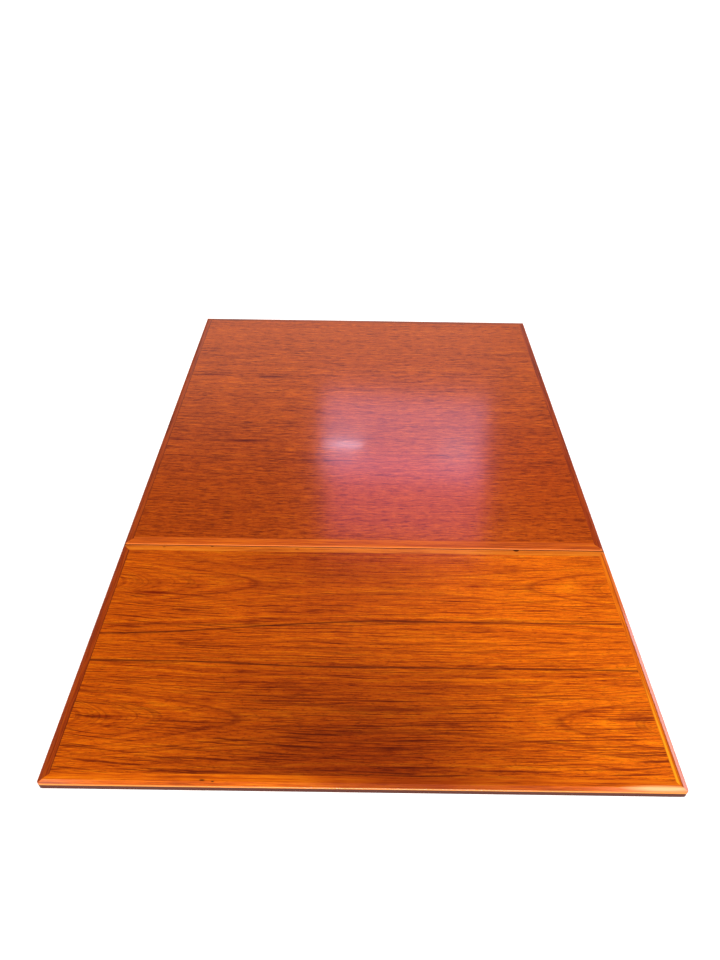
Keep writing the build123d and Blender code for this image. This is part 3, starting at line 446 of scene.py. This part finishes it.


# --- Lippings ----------------------------------------------------------------------------------
# Strips of solid teak glued round both panels, mitred at the corners and planed flush with the
# veneer before the lacquer went on. Each was cut from a different board, so their tones differ;
# the leaf's right strip is also painted lighter, as if lit from the right.

LIPPING_FIBRE_ACROSS, LIPPING_FIBRE_ALONG = 1.4 * MM, 45 * MM  # real fibres are 0.2 mm wide
LIPPING_BAND_ACROSS, LIPPING_BAND_ALONG = 7 * MM, 160 * MM
LIPPING_FIBRE_SHARE = 0.6
LIPPING_PORE_DARK = 0.5
MARK_STRENGTH = 0.85
GRAIN_ALONG = {"X": 0, "Y": 1, "Z": 2}
BEVEL_DROP = 3.0 * MM  # how far down the outer face begins, painted dark as shade, where the edge is bevelled
ARRIS_DROP = 1.1 * MM  # and where it is square
ARRIS_WEAR_AND_HIGHLIGHT_HEIGHT = 1.2 * MM  # how far above that face the arris band, wear with a painted highlight, reaches
FADE = 0.6 * MM
# The outer face's colour, painted dark as shade.
EDGE_PAINTED_SHADE = "4E1C08"
UNLACQUERED_SHINE = 0.3
TABLE_TOP_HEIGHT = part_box("main_veneer_top")[1].z


def solid_teak(name, tones, along, gloss=1.0, marks=(), edge=None, shades=()):
    """Straight-grained solid teak, its fibres running along one axis. gloss is how much lacquer
    it has, from 0 for bare wood to 1. marks are small specks, joint lines and painted highlights,
    each a place, a reach and a colour. edge tells how far down the outer face begins, which is
    matt and painted dark as shade, and how the arris above it looks, from wear and a painted
    highlight: its colour, and how much. shades are patches of painted shade."""
    material, tree, out = new_material(name)
    place = add(tree, "TexCoord").outputs["Object"]
    length_axis = GRAIN_ALONG[along]

    def stretched(fibre_along, fibre_across):
        scale = [1 / fibre_across] * 3
        scale[length_axis] = 1 / fibre_along
        return add(tree, "VectorMath", {0: place, 1: scale}, operation="MULTIPLY").outputs[0]

    bands = add(tree, "TexNoise", {
        "Vector": stretched(LIPPING_BAND_ALONG, LIPPING_BAND_ACROSS), "Scale": 1.0,
        "Detail": 3.0})
    fibres = add(tree, "TexNoise", {
        "Vector": stretched(LIPPING_FIBRE_ALONG, LIPPING_FIBRE_ACROSS), "Scale": 1.0,
        "Detail": 4.0, "Roughness": 0.6})
    pores = add(tree, "TexNoise", {"Vector": stretched(PORE_ALONG, PORE_ACROSS), "Scale": 1.0,
                                   "Detail": 2.0, "Roughness": 0.7})
    tone = add(tree, "Mix", {"Factor": LIPPING_FIBRE_SHARE, 2: bands.outputs["Fac"],
                             3: fibres.outputs["Fac"]})
    colour = add(tree, "ValToRGB", {"Fac": tone.outputs[0]})
    set_ramp(colour.color_ramp, tones)
    dashes = add(tree, "MapRange", {"Value": pores.outputs["Fac"], "From Min": 0.58,
                                    "From Max": 0.72, "To Max": LIPPING_PORE_DARK})
    colour = add(tree, "Mix", {"Factor": dashes.outputs[0], 6: colour.outputs["Color"],
                               7: linear(tones[0][1])}, data_type="RGBA").outputs[2]
    for middle, reach, stain in marks:
        speck = add(tree, "VectorMath", {0: place, 1: middle}, operation="SUBTRACT")
        speck = add(tree, "VectorMath", {0: speck.outputs[0], 1: [1 / r for r in reach]},
                    operation="MULTIPLY")
        speck = add(tree, "VectorMath", {0: speck.outputs[0]}, operation="LENGTH")
        inside = add(tree, "MapRange", {"Value": speck.outputs["Value"], "From Min": 1.0,
                                        "From Max": 0.4, "To Max": MARK_STRENGTH})
        colour = add(tree, "Mix", {"Factor": inside.outputs[0], 6: colour,
                                   7: linear(stain)}, data_type="RGBA").outputs[2]
    colour = shaded(tree, place, colour, shades)
    coat = gloss
    # Two bands down the outer edge: the arris, wear with a painted highlight, then the outer face,
    # painted dark as shade. The lacquer thins over the first and is gone from the second.
    if edge:
        drop, arris_wear_and_highlight_colour, arris_wear_and_highlight = edge
        height = add(tree, "SeparateXYZ", {"Vector": place})
        for start, reached, amount in ((drop - ARRIS_WEAR_AND_HIGHLIGHT_HEIGHT, arris_wear_and_highlight_colour, arris_wear_and_highlight),
                                       (drop, EDGE_PAINTED_SHADE, 1.0)):
            below = add(tree, "MapRange", {"Value": height.outputs["Z"],
                                           "From Min": TABLE_TOP_HEIGHT - start,
                                           "From Max": TABLE_TOP_HEIGHT - start - FADE,
                                           "To Max": amount})
            colour = add(tree, "Mix", {"Factor": below.outputs[0], 6: colour,
                                       7: linear(reached)}, data_type="RGBA").outputs[2]
            kept = add(tree, "Math", {0: 1.0, 1: below.outputs[0]}, operation="SUBTRACT")
            coat = add(tree, "Math", {0: kept.outputs[0], 1: coat},
                       operation="MULTIPLY").outputs[0]
    rough = add(tree, "MapRange", {"Value": fibres.outputs["Fac"],
                                   "To Min": WOOD_ROUGHNESS - ROUGHNESS_SPREAD,
                                   "To Max": WOOD_ROUGHNESS + ROUGHNESS_SPREAD})
    relief = add(tree, "Bump", {"Height": pores.outputs["Fac"], "Strength": 0.3,
                                "Distance": PORE_DEPTH})
    shader = add(tree, "BsdfPrincipled", {
        "Base Color": colour, "Roughness": rough.outputs[0], "Normal": relief.outputs[0],
        "Specular IOR Level": WOOD_SHINE + UNLACQUERED_SHINE * (1 - gloss),
        "Coat Weight": coat, "Coat Roughness": LACQUER_ROUGHNESS, "Coat IOR": LACQUER_IOR})
    tree.links.new(shader.outputs[0], out.inputs["Surface"])
    return material


def finish_lipping(name, along, dark, middle, light, edge, marks=(), gloss=1.0, shades=()):
    """One strip, in its own board's tone from dark fibres to light ones."""
    tones = [(0.36, dark), (0.48, middle), (0.62, light)]
    finish_with(solid_teak("lacquered_" + name, tones, along, gloss, marks, edge, shades), name)


GUM, CORNER_HIGHLIGHT, JOINT, RED_JOINT = "2A0C03", "F2B070", "3C1406", "8E3A0C"
STRIPE_HIGHLIGHT = "F0A018"
END_TO_END = 9.0  # the reach of a line that runs the whole length of a strip
LEFT_MARKS = (  # middle, reach, colour
    ((-0.4105, 0.0, TABLE_TOP_HEIGHT), (2.0 * MM, END_TO_END, 4 * MM), JOINT),
)
LEAF_RIGHT_MARKS = (
    # A painted highlight: a pale stripe along the strip's inner arris.
    ((0.4132, SEAM - 0.400, TABLE_TOP_HEIGHT), (2.4 * MM, 0.16, 4 * MM), STRIPE_HIGHLIGHT),
    ((0.4180, 0.0, TABLE_TOP_HEIGHT), (1.1 * MM, END_TO_END, 4 * MM), RED_JOINT),
)
LEAF_OUTER_MARKS = (
    ((-0.210, SEAM - 0.4275, TABLE_TOP_HEIGHT), (5 * MM, 1.6 * MM, 3 * MM), GUM),
    ((-0.196, SEAM - 0.4290, TABLE_TOP_HEIGHT), (3 * MM, 1.2 * MM, 3 * MM), GUM),
    # A painted highlight: a cream glint on the near right corner's end grain.
    ((0.392, SEAM - 0.4300, TABLE_TOP_HEIGHT), (60 * MM, 4.5 * MM, 6 * MM), CORNER_HIGHLIGHT),
)
# Painted shade: the middle of the near strip is darkened as if less lit.
LEAF_OUTER_PAINTED_SHADE = ((0.07, -0.43, 0.24, 0.30, "B4988C", 1.0),)
LEAF_SEAM_MARKS = (
    ((-0.352, SEAM - 0.008, TABLE_TOP_HEIGHT), (4 * MM, 1.2 * MM, 3 * MM), GUM),
    ((-0.118, SEAM - 0.009, TABLE_TOP_HEIGHT), (5 * MM, 1.4 * MM, 3 * MM), GUM),
)

# Each edge gives where the outer face begins, and the arris band's colour and amount: wear with a
# painted highlight.
finish_lipping("main_lipping_left", "Y", "5E1E06", "8E360C", "A0440F",
               (BEVEL_DROP, "B0501C", 0.3), LEFT_MARKS)
finish_lipping("main_lipping_right", "Y", "5A1A06", "8C320C", "9E400F",
               (BEVEL_DROP, "A04818", 0.2))
finish_lipping("main_lipping_far", "X", "5A1C06", "8A380C", "9C4410",
               (BEVEL_DROP, "A04818", 0.2))
finish_lipping("main_lipping_seam", "X", "702002", "AE4402", "C86004",
               (ARRIS_DROP, "D87020", 0.9), gloss=0.6)
finish_lipping("leaf_lipping_left", "Y", "642008", "8C3208", "A2440A",
               (BEVEL_DROP, "B85818", 0.3), LEFT_MARKS)
# Painted lighter than the left strip, as if lit from the right. Its arris is pinkish with a painted
# reflection of the window.
finish_lipping("leaf_lipping_right", "Y", "A44408", "CC6006", "DE780C",
               (BEVEL_DROP, "E89070", 0.4), LEAF_RIGHT_MARKS)
finish_lipping("leaf_lipping_outer", "X", "8A3404", "C65602", "DC7206",
               (BEVEL_DROP, "F0A050", 0.7), LEAF_OUTER_MARKS, shades=LEAF_OUTER_PAINTED_SHADE)
finish_lipping("leaf_lipping_seam", "X", "8C3C08", "C26010", "D47818",
               (ARRIS_DROP, "C86820", 0.5), LEAF_SEAM_MARKS)


# --- Underside veneer and core -----------------------------------------------------------------
# The underside is plainer sliced teak, thinly sealed and matt. The core between the veneers is
# blockboard: softwood strips glued side by side, seen only if the leaf's edge were cut through.

UNDER_TONES = [(0.30, "4A1E0C"), (0.48, "7A3A18"), (0.66, "8E4A22")]
finish_with(solid_teak("sealed_teak_underside", UNDER_TONES, "X", gloss=0.25),
            "main_veneer_under", "leaf_veneer_under")

CORE_TONES = [(0.30, "A5814F"), (0.48, "C4A06A"), (0.66, "D6B884")]
finish_with(solid_teak("softwood_core_strips", CORE_TONES, "X", gloss=0.0),
            "main_core", "leaf_core")


# --- Legs and aprons ---------------------------------------------------------------------------
# Solid teak. The legs are turned round below their square heads and stand with the grain upright.
# The aprons are planed boards with the grain along them. All are oiled, with only a soft shine.

FRAME_TONES = [(0.30, "54200B"), (0.48, "8A3C14"), (0.66, "A04E1C")]
OIL_GLOSS = 0.45
CORNERS = ("near_left", "near_right", "far_left", "far_right")
finish_with(solid_teak("oiled_teak_legs", FRAME_TONES, "Z", gloss=OIL_GLOSS),
            *["leg_" + corner for corner in CORNERS])
finish_with(solid_teak("oiled_teak_cross_aprons", FRAME_TONES, "X", gloss=OIL_GLOSS),
            "apron_near", "apron_far")
finish_with(solid_teak("oiled_teak_side_aprons", FRAME_TONES, "Y", gloss=OIL_GLOSS),
            "apron_left", "apron_right")


# --- Corner blocks and top buttons -------------------------------------------------------------
# Beech, sawn and planed but not finished: pale pinkish brown, close grained, with the short dark
# ray flecks that mark beech. The blocks brace the corners and the buttons hold the top down.

BEECH_FIBRE_ACROSS, BEECH_FIBRE_ALONG = 2.5 * MM, 30 * MM
FLECK_ACROSS, FLECK_ALONG = 1.0 * MM, 3.5 * MM
RAY_FLECK = "8A5A34"

beech, tree, out = new_material("planed_beech")
place = add(tree, "TexCoord").outputs["Object"]
stretch = add(tree, "VectorMath", {0: place, 1: (1 / BEECH_FIBRE_ALONG, 1 / BEECH_FIBRE_ACROSS,
                                                 1 / BEECH_FIBRE_ACROSS)},
              operation="MULTIPLY")
grain = add(tree, "TexNoise", {"Vector": stretch.outputs[0], "Scale": 1.0, "Detail": 3.0})
colour = add(tree, "ValToRGB", {"Fac": grain.outputs["Fac"]})
set_ramp(colour.color_ramp, [(0.32, "B88A5C"), (0.50, "CBA074"), (0.68, "D8B48A")])
stretch = add(tree, "VectorMath", {0: place, 1: (1 / FLECK_ALONG, 1 / FLECK_ACROSS,
                                                 1 / FLECK_ACROSS)}, operation="MULTIPLY")
flecks = add(tree, "TexNoise", {"Vector": stretch.outputs[0], "Scale": 1.0, "Detail": 1.0})
dark = add(tree, "MapRange", {"Value": flecks.outputs["Fac"], "From Min": 0.62,
                              "From Max": 0.70, "To Max": 0.55})
colour = add(tree, "Mix", {"Factor": dark.outputs[0], 6: colour.outputs["Color"],
                           7: linear(RAY_FLECK)}, data_type="RGBA")
relief = add(tree, "Bump", {"Height": grain.outputs["Fac"], "Strength": 0.3, "Distance": 0.1 * MM})
shader = add(tree, "BsdfPrincipled", {"Base Color": colour.outputs[2], "Roughness": 0.62,
                                      "Specular IOR Level": 0.35, "Normal": relief.outputs[0]})
tree.links.new(shader.outputs[0], out.inputs["Surface"])
finish_with(beech, *["corner_block_" + corner for corner in CORNERS], "top_buttons")


# --- Bolts, nuts, washers and screws under the top ---------------------------------------------
# Mild steel, bright zinc plated: a cool grey with a faint bluish cast, dulled in patches by
# handling, with the small shallow dents that parts get as they tumble in the plating barrel.

DULL_PATCH = 4 * MM
DENT = 1.6 * MM

zinc, tree, out = new_material("zinc_plated_steel")
place = add(tree, "TexCoord").outputs["Object"]
patches = add(tree, "TexNoise", {"Vector": place, "Scale": 1 / DULL_PATCH, "Detail": 4.0})
colour = add(tree, "ValToRGB", {"Fac": patches.outputs["Fac"]})
set_ramp(colour.color_ramp, [(0.30, "9A9FA4"), (0.50, "B9BEC2"), (0.70, "CDD1D4")])
rough = add(tree, "MapRange", {"Value": patches.outputs["Fac"], "To Min": 0.25, "To Max": 0.50})
dents = add(tree, "TexVoronoi", {"Vector": place, "Scale": 1 / DENT})
relief = add(tree, "Bump", {"Height": dents.outputs["Distance"], "Strength": 0.15,
                            "Distance": 0.03 * MM})
shader = add(tree, "BsdfPrincipled", {"Base Color": colour.outputs[0], "Metallic": 1.0,
                                      "Roughness": rough.outputs[0], "Normal": relief.outputs[0]})
tree.links.new(shader.outputs[0], out.inputs["Surface"])
finish_with(zinc, "leg_bolts", "leg_bolt_washers", "leg_bolt_nuts", "corner_block_screws",
            "top_button_screws", "foot_glide_nails")


# --- Foot glides -------------------------------------------------------------------------------
# Moulded white nylon discs nailed under the legs: slightly waxy and translucent, their faces
# scuffed grey where they slide on the floor.

SCUFF = 1.5 * MM
NYLON_IOR = 1.53

nylon, tree, out = new_material("moulded_nylon")
place = add(tree, "TexCoord").outputs["Object"]
scuffs = add(tree, "TexNoise", {"Vector": place, "Scale": 1 / SCUFF, "Detail": 5.0})
colour = add(tree, "ValToRGB", {"Fac": scuffs.outputs["Fac"]})
set_ramp(colour.color_ramp, [(0.30, "C6C1B6"), (0.48, "DED9CE"), (0.66, "E9E5DB")])
rough = add(tree, "MapRange", {"Value": scuffs.outputs["Fac"], "To Min": 0.35, "To Max": 0.6})
shader = add(tree, "BsdfPrincipled", {"Base Color": colour.outputs[0], "IOR": NYLON_IOR,
                                      "Roughness": rough.outputs[0], "Subsurface Weight": 0.1,
                                      "Subsurface Scale": 1.0 * MM})
tree.links.new(shader.outputs[0], out.inputs["Surface"])
finish_with(nylon, "foot_glides")


# --- Hinges ------------------------------------------------------------------------------------
# Two butt hinges of rolled brass strip let into the underside at the seam, with drawn brass pins
# and countersunk brass screws. Unlacquered, so the yellow has gone warm and uneven.

ROLLING_ACROSS, ROLLING_ALONG = 0.8 * MM, 22 * MM  # real lines are 0.05 mm, too fine to show
TARNISH_PATCH = 9 * MM
TARNISH_BROWN = "6B4A22"


def aged_brass(name, tones, roughness, grain_along, tarnish):
    """Brass that has been handled: fine lines from rolling or drawing along one axis, and
    brown tarnish in soft patches."""
    material, tree, out = new_material(name)
    place = add(tree, "TexCoord").outputs["Object"]
    scale = [1 / ROLLING_ACROSS] * 3
    scale[GRAIN_ALONG[grain_along]] = 1 / ROLLING_ALONG
    stretch = add(tree, "VectorMath", {0: place, 1: scale}, operation="MULTIPLY")
    drawn = add(tree, "TexNoise", {"Vector": stretch.outputs[0], "Scale": 1.0, "Detail": 3.0})
    patches = add(tree, "TexNoise", {"Vector": place, "Scale": 1 / TARNISH_PATCH, "Detail": 5.0,
                                     "Roughness": 0.6})
    colour = add(tree, "ValToRGB", {"Fac": drawn.outputs["Fac"]})
    set_ramp(colour.color_ramp, tones)
    dull = add(tree, "MapRange", {"Value": patches.outputs["Fac"], "From Min": 0.48,
                                  "From Max": 0.68, "To Max": tarnish})
    colour = add(tree, "Mix", {"Factor": dull.outputs[0], 6: colour.outputs[0],
                               7: linear(TARNISH_BROWN)}, data_type="RGBA")
    rough = add(tree, "MapRange", {"Value": patches.outputs["Fac"], "To Min": roughness - 0.10,
                                   "To Max": roughness + 0.16})
    relief = add(tree, "Bump", {"Height": drawn.outputs["Fac"], "Strength": 0.2,
                                "Distance": 0.04 * MM})
    shader = add(tree, "BsdfPrincipled", {"Base Color": colour.outputs[2], "Metallic": 1.0,
                                          "Roughness": rough.outputs[0],
                                          "Normal": relief.outputs[0]})
    tree.links.new(shader.outputs[0], out.inputs["Surface"])
    return material


HINGE_TONES = [(0.30, "B08840"), (0.50, "C9A050"), (0.70, "DAB567")]
SIDES = ("left", "right")
finish_with(aged_brass("rolled_brass_hinge", HINGE_TONES, 0.34, "X", tarnish=0.45),
            *[f"hinge_{side}_{part}" for side in SIDES
              for part in ("top_flap", "leaf_flap", "pin")],
            "hinge_top_screws", "hinge_leaf_screws")


# --- Leaf stays --------------------------------------------------------------------------------
# On each side a flat brass arm swings from a bracket inside the frame and slides in a slotted
# plate under the leaf. Pressed from strip and bright dipped, so they are paler than the hinges.

STAY_TONES = [(0.30, "BE9A50"), (0.50, "D6B262"), (0.70, "E4C47C")]
finish_with(aged_brass("bright_dipped_brass_stay", STAY_TONES, 0.28, "Y", tarnish=0.25),
            *[f"stay_{side}_{part}" for side in SIDES
              for part in ("bracket", "pivot_pin", "arm", "stud", "slide_plate")],
            "stay_bracket_screws", "slide_plate_screws")


# --- Stay washers and clamp knobs --------------------------------------------------------------
# Red vulcanised fibre washers keep the brass from grinding. The knobs are turned from brass bar
# and fluted for grip. Lacquered, they keep a brighter yellow than the rest.

FELT = 0.8 * MM

fibre, tree, out = new_material("vulcanised_fibre")
place = add(tree, "TexCoord").outputs["Object"]
felted = add(tree, "TexNoise", {"Vector": place, "Scale": 1 / FELT, "Detail": 5.0,
                                "Roughness": 0.7})
colour = add(tree, "ValToRGB", {"Fac": felted.outputs["Fac"]})
set_ramp(colour.color_ramp, [(0.30, "4E1712"), (0.50, "712720"), (0.70, "84372C")])
relief = add(tree, "Bump", {"Height": felted.outputs["Fac"], "Strength": 0.4,
                            "Distance": 0.08 * MM})
shader = add(tree, "BsdfPrincipled", {"Base Color": colour.outputs[0], "Roughness": 0.7,
                                      "Normal": relief.outputs[0]})
tree.links.new(shader.outputs[0], out.inputs["Surface"])
finish_with(fibre, *[f"stay_{side}_spacer" for side in SIDES])

KNOB_TONES = [(0.30, "C8A04C"), (0.50, "E0B85C"), (0.70, "EECB78")]
finish_with(aged_brass("turned_brass_knob", KNOB_TONES, 0.24, "X", tarnish=0.15),
            *[f"stay_{side}_clamp_knob" for side in SIDES])
